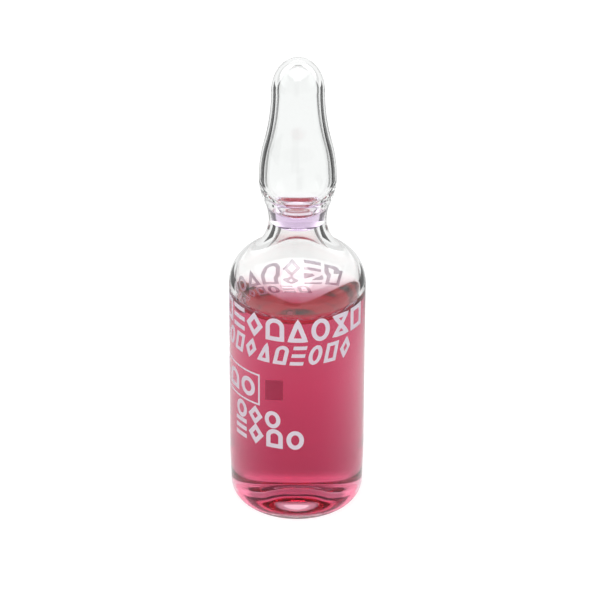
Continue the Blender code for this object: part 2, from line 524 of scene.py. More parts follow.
@dataclass(frozen=True)
class GlassFinish:
    """Fire-polished clear glass."""

    name: str
    ior: float = 1.48
    specular_tint: tuple = (1.0, 1.0, 1.0, 1.0)
    colour: tuple = (0.985, 0.995, 0.99, 1.0)
    waves: float = 160.0
    stretch: float = 0.35
    bump: float = 0.02

    def build(self, ripple: RippleGroup) -> bpy.types.Material:
        """Make the material.

        Args:
            ripple: the shared group of slow waves.

        Returns:
            The material.
        """
        material = bpy.data.materials.new(self.name)
        material.use_nodes = True
        graph = Graph(material.node_tree)
        normal = ripple.normal(graph, self.waves, self.stretch, self.bump)
        surface = clear_surface(graph, self.colour, self.ior, self.specular_tint, normal)
        graph.add("ShaderNodeOutputMaterial", {"Surface": surface})
        return material


@dataclass(frozen=True)
class LiquidFinish:
    """A clear coloured liquid, darker the deeper one looks into it.

    Attributes:
        name: the material's name.
        absorbs: what it takes of red, green and blue light, per metre.
        headroom: how far its density lies above the strongest of these, so that no colour is black.
    """

    name: str
    absorbs: tuple
    headroom: float = 1.1
    colour: tuple = (1.0, 1.0, 1.0, 1.0)
    ior: float = 1.34
    specular_tint: tuple = (0.0, 0.0, 0.0, 1.0)
    waves: float = 90.0
    stretch: float = 1.0
    bump: float = 0.01

    def build(self, ripple: RippleGroup) -> bpy.types.Material:
        """Make the material.

        Args:
            ripple: the shared group of slow waves.

        Returns:
            The material.
        """
        material = bpy.data.materials.new(self.name)
        material.use_nodes = True
        graph = Graph(material.node_tree)
        normal = ripple.normal(graph, self.waves, self.stretch, self.bump)
        surface = clear_surface(graph, self.colour, self.ior, self.specular_tint, normal)
        density = max(self.absorbs) * self.headroom
        kept = tuple(1 - each / density for each in self.absorbs) + (1.0,)
        inside = graph.add("ShaderNodeVolumeAbsorption", {"Color": kept, "Density": density})
        graph.add("ShaderNodeOutputMaterial", {"Surface": surface, "Volume": inside.outputs[0]})
        return material


@dataclass
class GlassBody:
    """The blown glass: an outer skin and a sealed hollow."""

    outline: Outline
    lathe: LatheTree
    turns: int = 160

    def build(self, dry: bpy.types.Material, wet: bpy.types.Material, wet_zones: list) -> bpy.types.Object:
        """Make the glass and dress it.

        Args:
            dry: the glass where air touches it.
            wet: the glass where liquid touches it.
            wet_zones: low and high heights between which liquid touches the inner side.

        Returns:
            The piece.
        """
        skin = self.lathe.sweep(self.outline.outer()[::-1], self.turns, dry)
        line = self.outline.inwards()
        floor = line[0, 1]
        for height in (end for zone in wet_zones for end in zone if end > floor):
            line = self.outline.with_row(line, height)
        hollow = self.lathe.sweep(line, self.turns, dry)
        hollow.materials.append(wet)
        for face in hollow.polygons:
            height = face.center.z
            if any(low <= height <= high for low, high in wet_zones):
                face.material_index = 1
        mesh = join_meshes("glass", [skin, hollow])
        return place_piece("blown_glass", mesh, ("glass_ampoule",))


@dataclass
class LiquidBody:
    """A liquid that touches the glass all round, with one or two free surfaces.

    Attributes:
        outline: the glass that holds it.
        lathe: the tree that turns it.
        name: the piece's name.
        node: the CAD node that it stands for.
        slot: the record's material slot.
        top: the height at which its upper surface meets the wall.
        top_angle: the slope of that surface there, in degrees.
        bottom: the same height for its lower surface, or None where it lies on the floor.
        bottom_angle: the slope of its lower surface at the wall, in degrees.
        capillary: the length over which its weight flattens a curved surface.
        overlap: how far it reaches into the glass, so that no air shows between them.
        surface_steps: rows of faces in a free surface.
        finer: steps of the sum for each of those rows.
        halvings: how often the search for the bend on the axis halves its range.
        turns: faces round the axis.
    """

    outline: Outline
    lathe: LatheTree
    name: str
    node: str
    # slot: the record's material slot; not used.
    slot: str
    top: float
    top_angle: float
    bottom: float | None = None
    bottom_angle: float = 0.0
    capillary: float = 1.7 * MM
    overlap: float = 0.02 * MM
    surface_steps: int = 40
    finer: int = 4
    halvings: int = 40
    turns: int = 160

    def climb(self, bend: float, radius: float, gravity: float) -> tuple:
        """Follow a free surface out from the axis, as its tension and its weight bend it.

        Args:
            bend: how sharply it bends on the axis.
            radius: where to stop.
            gravity: 1 for a surface with liquid below, -1 for one with liquid above.

        Returns:
            Radius and climb pairs, and the slope reached at the radius.
        """
        points = [(0.0, 0.0)]
        reach = rise = slope = 0.0
        step = radius / (self.surface_steps * self.finer)
        while reach < radius and slope < math.pi / 2:
            across = math.sin(slope) / reach if reach else bend
            turn = 2 * bend + gravity * rise / self.capillary ** 2 - across
            slope += turn * step
            reach += math.cos(slope) * step
            rise += math.sin(slope) * step
            points.append((reach, rise))
        return points, slope if reach >= radius else math.pi / 2

    def surface(self, rim_radius: float, rim_height: float, angle: float, gravity: float) -> list:
        """Points inwards over a free surface that meets the wall at a given slope.

        Args:
            rim_radius: the radius at the wall.
            rim_height: the height at the wall.
            angle: the slope at the wall, in degrees.
            gravity: 1 for a surface with liquid below, -1 for one with liquid above.

        Returns:
            Radius and height pairs, from beside the rim to the axis.
        """
        low, high = 0.0, 2 / rim_radius
        for _ in range(self.halvings):
            bend = (low + high) / 2
            points, slope = self.climb(bend, rim_radius, gravity)
            low, high = (bend, high) if slope < math.radians(angle) else (low, bend)
        points, _ = self.climb(low, rim_radius, gravity)
        radii, climbs = np.array(points).T
        shares = np.linspace(1, 0, self.surface_steps + 1)[1:]
        picked = np.interp(shares, np.linspace(0, 1, len(radii)), radii / radii[-1]) * rim_radius
        heights = np.interp(picked, radii, climbs) - climbs[-1]
        return list(zip(picked, rim_height + gravity * heights))

    def profile(self) -> np.ndarray:
        """The liquid's outline, from its top on the axis down its side to its bottom on the axis."""
        side = self.outline.inwards(-self.overlap)
        corner = np.argmax(side[:, 0] >= self.outline.ring_outer)
        foot, rising = side[:corner], side[corner:]
        low = rising[0, 1] if self.bottom is None else self.bottom
        ends = np.interp((low, self.top), rising[:, 1], rising[:, 0])
        between = rising[(rising[:, 1] > low) & (rising[:, 1] < self.top)]
        points = self.surface(ends[1], self.top, self.top_angle, 1)[::-1]
        points += [(ends[1], self.top)] + [tuple(p) for p in between[::-1]]
        if self.bottom is None:
            points += [tuple(p) for p in rising[:1]] + [tuple(p) for p in foot[::-1]]
        else:
            points += [(ends[0], low)] + self.surface(ends[0], low, self.bottom_angle, -1)
        return np.array(points)

    def build(self, material: bpy.types.Material) -> bpy.types.Object:
        """Make the liquid and dress it.

        Args:
            material: the liquid's material.

        Returns:
            The piece.
        """
        mesh = self.lathe.sweep(self.profile(), self.turns, material)
        return place_piece(self.name, mesh, (self.node,))


class MarkKind(Enum):
    """The plain shapes that stand in for print."""

    TRIANGLE = "triangle"
    HOURGLASS = "hourglass"
    SQUARE = "square"
    RING = "ring"
    DIAMOND = "diamond"
    DOME = "dome"
    BARS = "bars"
    PATCH = "patch"


@dataclass(frozen=True)
class Mark:
    """One flat shape drawn with an even stroke, its lower left corner at the origin."""

    kind: MarkKind
    width: float
    height: float
    stroke: float
    step: float = 0.3 * MM
    ring_steps: int = 40
    mitre_limit: float = 1.5
    least_lean: float = 1e-6

    def paths(self) -> list:
        """The middle lines of the strokes, each with a flag that says whether it is closed."""
        half = self.stroke / 2
        left, right, low, high = half, self.width - half, half, self.height - half
        middle, centre = self.width / 2, self.height / 2
        if self.kind is MarkKind.RING:
            turns = [2 * math.pi * i / self.ring_steps for i in range(self.ring_steps)]
            return [([(middle + (middle - half) * math.cos(t), centre + (centre - half) * math.sin(t))
                      for t in turns], True)]
        if self.kind is MarkKind.DOME:
            turns = [math.pi * i / self.ring_steps for i in range(self.ring_steps + 1)]
            radius = middle - half
            crown = high - radius
            top = [(middle - radius * math.cos(t), crown + radius * math.sin(t)) for t in turns]
            return [([(left, low)] + top + [(right, low)], True)]
        if self.kind is MarkKind.BARS:
            return [([(0, y), (self.width, y)], False) for y in (low, centre, high)]
        if self.kind is MarkKind.PATCH:
            return [([(middle, 0), (middle, self.height)], False)]
        corners = {
            MarkKind.TRIANGLE: [(left, low), (right, low), (middle, high)],
            MarkKind.SQUARE: [(left, low), (right, low), (right, high), (left, high)],
            MarkKind.DIAMOND: [(middle, low), (right, centre), (middle, high), (left, centre)],
            MarkKind.HOURGLASS: [(left, low), (right, low), (left, high), (right, high)]}
        return [(corners[self.kind], True)]

    def ribbon(self, path: list, closed: bool) -> tuple:
        """Widen one middle line into a strip of faces with mitred corners.

        Args:
            path: the middle line's points.
            closed: whether the last point joins the first.

        Returns:
            The strip's points and faces.
        """
        fine = []
        ends = list(zip(path, path[1:] + path[:1])) if closed else list(zip(path, path[1:]))
        for a, b in ends:
            parts = max(1, math.ceil(math.dist(a, b) / self.step))
            fine += [tuple(np.add(a, np.subtract(b, a) * i / parts)) for i in range(parts)]
        if not closed:
            fine.append(path[-1])
        line = np.array(fine)
        ahead = np.roll(line, -1, axis=0) - line
        ahead /= np.linalg.norm(ahead, axis=1)[:, None]
        if not closed:
            ahead[-1] = ahead[-2]
        before = np.roll(ahead, 1, axis=0)
        if not closed:
            before[0] = ahead[0]
        across = np.stack([-(ahead + before)[:, 1], (ahead + before)[:, 0]], axis=1)
        across /= np.linalg.norm(across, axis=1)[:, None]
        lean = np.sum(across * np.stack([-ahead[:, 1], ahead[:, 0]], axis=1), axis=1)
        reach = self.stroke / 2 * np.minimum(1 / np.maximum(lean, self.least_lean), self.mitre_limit)
        sides = np.concatenate([line - across * reach[:, None], line + across * reach[:, None]])
        count = len(line)
        last = count if closed else count - 1
        faces = [(i, (i + 1) % count, (i + 1) % count + count, i + count) for i in range(last)]
        return [(x, y, 0) for x, y in sides], faces

    def build(self, name: str) -> bpy.types.Object:
        """Make the flat shape as an object.

        Args:
            name: the object's name, which gives its place in a row's order.

        Returns:
            The object.
        """
        points, faces = [], []
        for path, closed in self.paths():
            strip_points, strip_faces = self.ribbon(path, closed)
            faces += [tuple(i + len(points) for i in face) for face in strip_faces]
            points += strip_points
        mesh = bpy.data.meshes.new(name)
        mesh.from_pydata(points, [], faces)
        return bpy.data.objects.new(name, mesh)


class PrintTree:
    """The Geometry Nodes tree that thickens a row of marks and wraps it round the body."""

    merge_distance: float = 0.0001 * MM

    def __init__(self) -> None:
        """Build the tree with its named inputs."""
        self.tree = bpy.data.node_groups.new("wrapped_row", "GeometryNodeTree")
        face = self.tree.interface
        face.new_socket("Geometry", in_out="OUTPUT", socket_type="NodeSocketGeometry")
        kinds = {"Marks": "Collection", "Count": "Int", "Kinds": "Int", "First": "Int", "Pitch": "Float",
                 "Radius": "Float", "Depth": "Float", "Proud": "Float", "Start Angle": "Float",
                 "Base Height": "Float", "Slant": "Float", "Material": "Material"}
        self.inputs = {name: face.new_socket(name, in_out="INPUT", socket_type=f"NodeSocket{kind}")
                       for name, kind in kinds.items()}
        graph = Graph(self.tree)
        given = graph.add("NodeGroupInput").outputs
        offset = graph.add("ShaderNodeCombineXYZ", {0: given["Pitch"]}).outputs[0]
        line = graph.add("GeometryNodeMeshLine", {"Count": given["Count"], "Offset": offset},
                         mode="OFFSET")
        marks = graph.add("GeometryNodeCollectionInfo", {0: given["Marks"], "Separate Children": True,
                                                         "Reset Children": True})
        number = graph.add("GeometryNodeInputIndex").outputs[0]
        kind = graph.math("MODULO", graph.math("ADD", number, given["First"]), given["Kinds"])
        placed = graph.add("GeometryNodeInstanceOnPoints", {
            "Points": line.outputs[0], "Instance": marks.outputs[0], "Pick Instance": True,
            "Instance Index": kind})
        flat = graph.add("GeometryNodeRealizeInstances", {0: placed.outputs[0]}).outputs[0]
        thick = graph.math("ADD", given["Depth"], given["Proud"])
        raised = graph.add("GeometryNodeExtrudeMesh", {"Mesh": flat, "Offset Scale": thick,
                                                       "Individual": False}, mode="FACES")
        under = graph.add("GeometryNodeFlipFaces", {0: flat})
        shell = graph.add("GeometryNodeJoinGeometry")
        graph.tree.links.new(raised.outputs[0], shell.inputs[0])
        graph.tree.links.new(under.outputs[0], shell.inputs[0])
        closed = graph.add("GeometryNodeMergeByDistance", {"Geometry": shell.outputs[0],
                                                           "Distance": self.merge_distance})
        place = graph.add("GeometryNodeInputPosition").outputs[0]
        x, y, z = graph.add("ShaderNodeSeparateXYZ", {0: place}).outputs
        along = graph.math("ADD", x, graph.math("MULTIPLY", y, graph.math("TANGENT", given["Slant"])))
        angle = graph.math("ADD", given["Start Angle"], graph.math("DIVIDE", along, given["Radius"]))
        radius = graph.math("SUBTRACT", graph.math("ADD", given["Radius"], z), given["Depth"])
        wrapped = graph.add("ShaderNodeCombineXYZ", {
            "X": graph.math("MULTIPLY", radius, graph.math("SINE", angle)),
            "Y": graph.math("MULTIPLY", graph.math("MULTIPLY", radius, -1.0), graph.math("COSINE", angle)),
            "Z": graph.math("ADD", given["Base Height"], y)}).outputs[0]
        moved = graph.add("GeometryNodeSetPosition", {"Geometry": closed.outputs[0], "Position": wrapped})
        real = graph.add("GeometryNodeRealizeInstances", {0: moved.outputs[0]})
        dressed = graph.add("GeometryNodeSetMaterial", {"Geometry": real.outputs[0],
                                                        "Material": given["Material"]})
        graph.add("NodeGroupOutput", {0: dressed.outputs[0]})


@dataclass(frozen=True)
class PrintRow:
    """A row of marks round the body.

    Attributes:
        kinds: the shapes, in the order in which they follow each other.
        count: how many marks there are.
        right_end: where the row ends, in degrees to the right of the front.
        base: the height of its lower edge.
        height: of one mark.
        width: of one mark.
        pitch: from one mark to the next.
        stroke: the width of the lines.
        slant: how far the marks lean, in degrees.
        first: the number of the shape that comes first.
        thin: whether the enamel is thin.
    """

    kinds: tuple
    count: int
    right_end: float
    base: float
    height: float
    width: float
    pitch: float
    stroke: float
    slant: float = 0.0
    first: int = 0
    thin: bool = False

    def build(self, body: "PrintedBody") -> bpy.types.Mesh:
        """Make the row.

        Args:
            body: the body that carries it.

        Returns:
            The row's mesh, in place.
        """
        marks = bpy.data.collections.new("marks")
        bpy.context.scene.collection.children.link(marks)
        for i, kind in enumerate(self.kinds):
            marks.objects.link(Mark(kind, self.width, self.height, self.stroke).build(f"mark_{i:02d}"))
        tree = body.tree
        material = body.thin_enamel if self.thin else body.enamel
        length = self.pitch * (self.count - 1) + self.width
        start = math.radians(body.front + self.right_end) - length / body.radius
        values = {"Marks": marks, "Count": self.count, "Kinds": len(self.kinds), "First": self.first,
                  "Pitch": self.pitch, "Radius": body.radius, "Depth": body.depth, "Proud": body.proud,
                  "Start Angle": start, "Base Height": self.base, "Slant": math.radians(self.slant),
                  "Material": material}
        mesh = run_tree(bpy.data.meshes.new("row"), tree.tree,
                        {tree.inputs[name].identifier: value for name, value in values.items()})
        for mark in list(marks.objects):
            bpy.data.meshes.remove(mark.data)
        bpy.data.collections.remove(marks)
        return mesh


@dataclass
class PrintedBody:
    """The white enamel print round the body.

    Attributes:
        tree: the tree that makes a row.
        radius: of the glass.
        front: the azimuth that the rows' angles are counted from, in degrees.
        enamel: the material of most rows.
        thin_enamel: the material of the thin ones.
        depth: how far the enamel reaches into the glass.
        proud: how far it stands out.
    """

    tree: PrintTree
    radius: float
    front: float
    enamel: bpy.types.Material
    thin_enamel: bpy.types.Material
    depth: float = 0.005 * MM
    proud: float = ENAMEL

    def rows(self) -> list:
        """The rows, from the top down, then what stands apart from them."""
        bold = (MarkKind.TRIANGLE, MarkKind.RING, MarkKind.HOURGLASS, MarkKind.SQUARE, MarkKind.BARS,
                MarkKind.DIAMOND, MarkKind.DOME)
        leaning = (MarkKind.DOME, MarkKind.BARS, MarkKind.RING, MarkKind.SQUARE, MarkKind.DIAMOND,
                   MarkKind.TRIANGLE)
        round_marks = (MarkKind.RING, MarkKind.DIAMOND)
        low = (MarkKind.BARS, MarkKind.DIAMOND, MarkKind.DOME, MarkKind.RING)
        return [
            PrintRow(bold, count=15, right_end=67.0, base=22.98 * MM, height=2.69 * MM, width=2.1 * MM,
                     pitch=2.5 * MM, stroke=0.5 * MM, first=3),
            PrintRow(leaning, count=17, right_end=48.0, base=20.2 * MM, height=2.3 * MM, width=1.45 * MM,
                     pitch=1.85 * MM, stroke=0.42 * MM, slant=12.0),
            PrintRow((MarkKind.SQUARE,), count=1, right_end=-33.0, base=14.6 * MM, height=3.8 * MM,
                     width=9.0 * MM, pitch=9.0 * MM, stroke=0.2 * MM),
            PrintRow(low, count=3, right_end=-38.0, base=15.3 * MM, height=2.3 * MM, width=2.1 * MM,
                     pitch=2.6 * MM, stroke=0.5 * MM, first=1),
            PrintRow(round_marks, count=3, right_end=-14.0, base=12.2 * MM, height=2.1 * MM,
                     width=1.8 * MM, pitch=2.15 * MM, stroke=0.47 * MM),
            PrintRow(low, count=4, right_end=6.0, base=9.8 * MM, height=2.3 * MM, width=1.9 * MM,
                     pitch=2.3 * MM, stroke=0.5 * MM),
            PrintRow((MarkKind.PATCH,), count=1, right_end=-168.6, base=10.1 * MM, height=2.5 * MM,
                     width=0.8 * MM, pitch=0.8 * MM, stroke=0.8 * MM, thin=True)]

    def build(self) -> bpy.types.Object:
        """Make the print as one piece."""
        mesh = join_meshes("enamel", [row.build(self) for row in self.rows()])
        return place_piece("white_enamel", mesh)


@dataclass(frozen=True)
class EnamelFinish:
    """Fired white enamel, a little thin, so that it takes a tint and some light from what lies behind."""

    name: str
    light: tuple = (0.98, 0.95, 1.0, 1.0)
    dark: tuple = (0.88, 0.82, 0.92, 1.0)
    roughness: float = 0.45
    alpha: float = 0.9
    lets_through: float = 0.45
    grain: float = 3500.0
    clouds: float = 500.0

    def build(self) -> bpy.types.Material:
        """Make the material."""
        material = bpy.data.materials.new(self.name)
        material.use_nodes = True
        graph = Graph(material.node_tree)
        place = graph.add("ShaderNodeTexCoord").outputs["Object"]
        fine = graph.add("ShaderNodeTexNoise", {"Vector": place, "Scale": self.grain, "Detail": 2.0})
        broad = graph.add("ShaderNodeTexNoise", {"Vector": place, "Scale": self.clouds, "Detail": 1.0})
        spread = graph.math("MULTIPLY", graph.math("ADD", fine.outputs[0], broad.outputs[0]), 0.5)
        colour = graph.add("ShaderNodeMix", {0: spread, 6: self.light, 7: self.dark}, data_type="RGBA")
        shader = graph.add("ShaderNodeBsdfPrincipled", {
            "Base Color": colour.outputs[2], "Alpha": self.alpha, "Roughness": self.roughness})
        glow = graph.add("ShaderNodeBsdfTranslucent", {"Color": colour.outputs[2]})
        mix = graph.add("ShaderNodeMixShader", {0: self.lets_through, 1: shader.outputs[0],
                                                2: glow.outputs[0]})
        graph.add("ShaderNodeOutputMaterial", {"Surface": mix.outputs[0]})
        return material


@dataclass(frozen=True)
class Wedge:
    """A wedge of compass directions, in degrees, 0 towards -Y and 90 towards +X."""

    middle: float
    half_width: float
    softness: float


@dataclass(frozen=True)
class Step:
    """A step from 0 to 1 that begins at start and is done after blend."""

    start: float
    blend: float

    def mask(self, graph: Graph, value: bpy.types.NodeSocket,
             kind: str = "SMOOTHSTEP") -> bpy.types.NodeSocket:
        """Work out how far up the step a number is.

        Args:
            graph: the tree that uses the step.
            value: the number.
            kind: the Map Range node's interpolation.

        Returns:
            The mask's socket.
        """
        return graph.add("ShaderNodeMapRange", {"Value": value, "From Min": self.start,
                                                "From Max": self.start + self.blend},
                         interpolation_type=kind).outputs[0]


def blend(graph: Graph, factor: bpy.types.NodeSocket, zero: bpy.types.NodeSocket | float,
          one: bpy.types.NodeSocket | float) -> bpy.types.NodeSocket:
    """A number that goes from one socket or value to another.

    Args:
        graph: the tree that uses it.
        factor: from 0 to 1.
        zero: the number at 0.
        one: the number at 1.

    Returns:
        The number's socket.
    """
    return graph.add("ShaderNodeMix", {0: factor, 2: zero, 3: one}, data_type="FLOAT").outputs[0]


class WedgeGroup:
    """A shared shader group: 1 inside a wedge of compass directions, 0 outside it."""

    def __init__(self) -> None:
        """Build the group."""
        self.tree = bpy.data.node_groups.new("compass_wedge", "ShaderNodeTree")
        face = self.tree.interface
        face.new_socket("Mask", in_out="OUTPUT", socket_type="NodeSocketFloat")
        face.new_socket("Direction", in_out="INPUT", socket_type="NodeSocketVector")
        for name in ("Middle", "Half width", "Softness"):
            face.new_socket(name, in_out="INPUT", socket_type="NodeSocketFloat")
        graph = Graph(self.tree)
        given = graph.add("NodeGroupInput").outputs
        x, y, _ = graph.add("ShaderNodeSeparateXYZ", {0: given["Direction"]}).outputs
        azimuth = graph.math("ARCTAN2", x, graph.math("MULTIPLY", y, -1.0))
        turned = graph.math("WRAP", graph.math("SUBTRACT", azimuth, given["Middle"]), math.pi, -math.pi)
        near = graph.math("SUBTRACT", given["Half width"], given["Softness"])
        far = graph.math("ADD", given["Half width"], given["Softness"])
        mask = graph.add("ShaderNodeMapRange", {
            "Value": graph.math("ABSOLUTE", turned), "From Min": near, "From Max": far,
            "To Min": 1.0, "To Max": 0.0}, interpolation_type="SMOOTHSTEP")
        graph.add("NodeGroupOutput", {0: mask.outputs[0]})

    def mask(self, graph: Graph, direction: bpy.types.NodeSocket, *wedges: Wedge) -> bpy.types.NodeSocket:
        """The largest mask of several wedges.

        Args:
            graph: the tree that uses the wedges.
            direction: the direction to test.
            wedges: the wedges.

        Returns:
            The mask's socket.
        """
        total = None
        for wedge in wedges:
            mask = graph.add("ShaderNodeGroup", {
                "Direction": direction, "Middle": math.radians(wedge.middle),
                "Half width": math.radians(wedge.half_width),
                "Softness": math.radians(wedge.softness)}, node_tree=self.tree).outputs[0]
            total = mask if total is None else graph.math("MAXIMUM", total, mask)
        return total


@dataclass(frozen=True)
class Surround:
    """What rays out of glass see, by compass direction and by the sine of their height.

    White, with dark cards at the side, a bright low sky behind the object that is plainer straight
    behind it, a dim ceiling above that, and a bright panel overhead.
    """

    cards: tuple = (Wedge(216.0, 14.0, 1.0), Wedge(234.0, 14.0, 1.0), Wedge(306.0, 14.0, 1.0))
    sky: Wedge = Wedge(135.0, 110.0, 15.0)
    gap: Wedge = Wedge(135.0, 18.0, 8.0)
    sky_rise: Step = Step(0.15, 0.06)
    ceiling_rise: Step = Step(0.60, 0.08)
    panel_rise: Step = Step(0.77, 0.08)
    white: float = 0.97
    card_grey: float = 0.03
    sky_glow: float = 2.3
    gap_glow: float = 1.1
    ceiling_glow: float = 0.2
    panel_glow: float = 1.5

    def strength(self, graph: Graph, wedge: WedgeGroup, direction: bpy.types.NodeSocket,
                 height: bpy.types.NodeSocket) -> bpy.types.NodeSocket:
        """Work out how bright the surround is.

        Args:
            graph: the world's graph.
            wedge: the shared group of compass wedges.
            direction: of the ray.
            height: the sine of the ray's height.

        Returns:
            The strength's socket.
        """
        is_sky = graph.math("MULTIPLY", self.sky_rise.mask(graph, height),
                            wedge.mask(graph, direction, self.sky))
        low = blend(graph, wedge.mask(graph, direction, *self.cards), self.white, self.card_grey)
        sky = blend(graph, wedge.mask(graph, direction, self.gap), self.sky_glow, self.gap_glow)
        top = blend(graph, self.panel_rise.mask(graph, height), self.ceiling_glow, self.panel_glow)
        return blend(graph, self.ceiling_rise.mask(graph, height), blend(graph, is_sky, low, sky), top)


@dataclass(frozen=True)
class FloorGlow:
    """What rays out of glass see of the floor, by compass direction and distance from the object.

    Painted light right under the object, where light comes through it, then a painted soft shadow round
    its foot that fades out to a little over white, then white, with dark cards farther out.
    """

    near_cards: tuple = (Wedge(99.0, 14.0, 1.0), Wedge(171.0, 14.0, 1.0))
    near_rise: Step = Step(50.0 * MM, 8.0 * MM)
    far_rise: Step = Step(240.0 * MM, 40.0 * MM)
    foot_rise: Step = Step(8.0 * MM, 2.0 * MM)
    middle_rise: Step = Step(10.0 * MM, 18.0 * MM)
    open_rise: Step = Step(52.0 * MM, 23.0 * MM)
    # painted pool of light right under the object, then a painted soft shadow round its foot that fades
    # out farther away
    painted_light_under: float = 1.3
    painted_shadow_round_foot: float = 0.82
    middle_glow: float = 1.03

    def strength(self, graph: Graph, wedge: WedgeGroup, surround: Surround, flat: bpy.types.NodeSocket,
                 distance: bpy.types.NodeSocket) -> bpy.types.NodeSocket:
        """Work out how bright the floor is.

        Args:
            graph: the floor's graph.
            wedge: the shared group of compass wedges.
            surround: what lies beyond the floor, whose cards begin on it.
            flat: the place on the floor.
            distance: its distance from the object.

        Returns:
            The strength's socket.
        """
        is_far = self.far_rise.mask(graph, distance)
        is_near = graph.math("MULTIPLY", self.near_rise.mask(graph, distance),
                             graph.math("SUBTRACT", 1.0, is_far))
        near = graph.math("MULTIPLY", wedge.mask(graph, flat, *self.near_cards), is_near)
        far = graph.math("MULTIPLY", wedge.mask(graph, flat, *surround.cards), is_far)
        # painted soft shadow round the foot, fading out with distance; inside it, painted light right
        # under the object
        painted_foot_shadow = blend(graph, self.middle_rise.mask(graph, distance, "LINEAR"), self.painted_shadow_round_foot,
                           self.middle_glow)
        close = blend(graph, self.foot_rise.mask(graph, distance), self.painted_light_under, painted_foot_shadow)
        pale = blend(graph, self.open_rise.mask(graph, distance), close, surround.white)
        return blend(graph, graph.math("ADD", near, far), pale, surround.card_grey)


@dataclass(frozen=True)
class Gloss:
    """What reflections see: dim in front, where the room is, bright elsewhere, brightest overhead."""

    front: Wedge = Wedge(-45.0, 75.0, 45.0)
    far_rise: Step = Step(34.0 * MM, 16.0 * MM)
    front_glow: float = 0.25
    glow: float = 1.0
    far_glow: float = 0.6
    ceiling_glow: float = 4.5

    def strength(self, graph: Graph, wedge: WedgeGroup, direction: bpy.types.NodeSocket,
                 factor: bpy.types.NodeSocket, end: float) -> bpy.types.NodeSocket:
        """Work out how bright a reflected direction is.

        Args:
            graph: the floor's or the world's graph.
            wedge: the shared group of compass wedges.
            direction: to test.
            factor: how far the brightness goes over to its end value.
            end: that value.

        Returns:
            The strength's socket.
        """
        sides = blend(graph, wedge.mask(graph, direction, self.front), self.glow, self.front_glow)
        return blend(graph, factor, sides, end)


